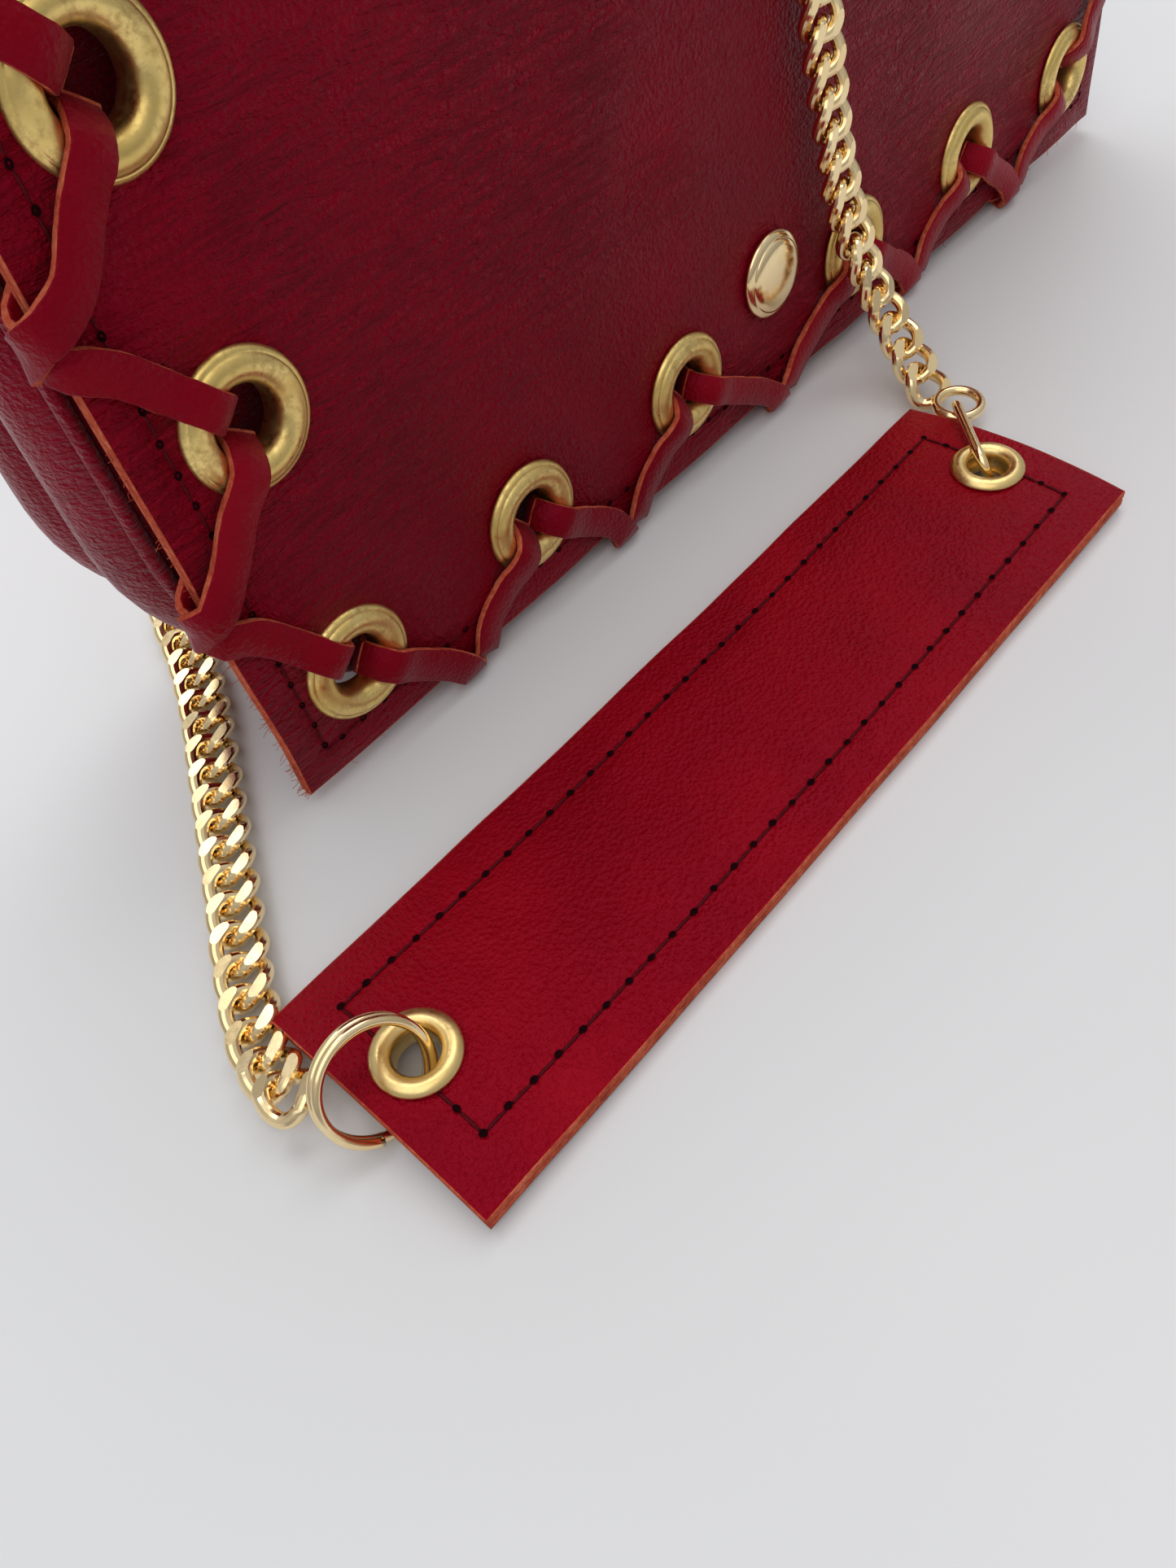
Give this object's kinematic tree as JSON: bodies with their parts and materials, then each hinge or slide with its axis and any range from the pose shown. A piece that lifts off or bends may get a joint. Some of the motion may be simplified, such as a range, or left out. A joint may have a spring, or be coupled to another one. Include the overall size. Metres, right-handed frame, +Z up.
{
  "type": "flap shoulder bag",
  "caption": "Small leather shoulder bag with a laced flap over an open pouch, a domed snap and a chain strap with a stitched leather shoulder pad.",
  "frame": {"origin": "centre of the standing bag's box at the ground, measured without the strap", "axes": "+X along the bag's width, -Y is the front with the flap, +Z up"},
  "size_m": [0.308, 0.1482, 0.1847],
  "materials": {
    "body_leather": "soft full-grain leather with a low sheen",
    "flap_leather": "soft full-grain leather with a low sheen",
    "pad_leather": "pebbled leather, slightly glossy",
    "lace_leather": "cut leather thong with raw edges",
    "lining": "plain woven lining",
    "thread": "waxed thread",
    "old_brass": "aged, brown in the low places",
    "satin_brass": "satin",
    "gold": "polished pale gold plate"
  },
  "bodies": {
    "bag": {"body_front_panel": "body_leather", "body_back_panel": "body_leather", "body_gusset": "body_leather", "lining_pouch": "lining", "top_band_outer": "flap_leather", "top_band_lining": "flap_leather", "snap_stud": "gold", "snap_stud_washer": "gold", "ring_tabs": "body_leather", "tab_rivets": "gold", "chain_left": "gold", "chain_right": "gold", "pad_bottom": "pad_leather", "pad_top": "pad_leather", "pad_thread": "thread", "pad_eyelets": "satin_brass", "pad_washers": "satin_brass", "split_ring": "gold", "oval_link": "gold", "strap_end_link": "gold"},
    "flap": {"flap_outer": "flap_leather", "flap_lining": "flap_leather", "flap_thread": "thread", "flap_eyelets": "old_brass", "flap_washers": "old_brass", "edge_lacing": "lace_leather", "snap_cap": "gold", "snap_socket": "gold"},
    "ring_left": {"d_ring_left": "gold", "chain_end_ring_left": "gold"},
    "ring_right": {"d_ring_right": "gold", "chain_end_ring_right": "gold"}
  },
  "joints": [
    {"name": "flap_hinge", "type": "hinge", "parent": "bag", "child": "flap", "pos_m": [0, -0.00075, 0.17321], "axis": [-1, 0, 0], "range_deg": [0, 175], "deforming": ["chain_right"]},
    {"name": "ring_left_swing", "type": "hinge", "parent": "bag", "child": "ring_left", "pos_m": [-0.08, 0.01647, 0.12362], "axis": [1, 0, 0], "range_deg": [0, 125], "deforming": ["chain_left"]},
    {"name": "ring_right_swing", "type": "hinge", "parent": "bag", "child": "ring_right", "pos_m": [0.08, 0.01647, 0.12362], "axis": [-1, 0, 0], "range_deg": [0, 125], "deforming": ["chain_right"]}
  ]
}
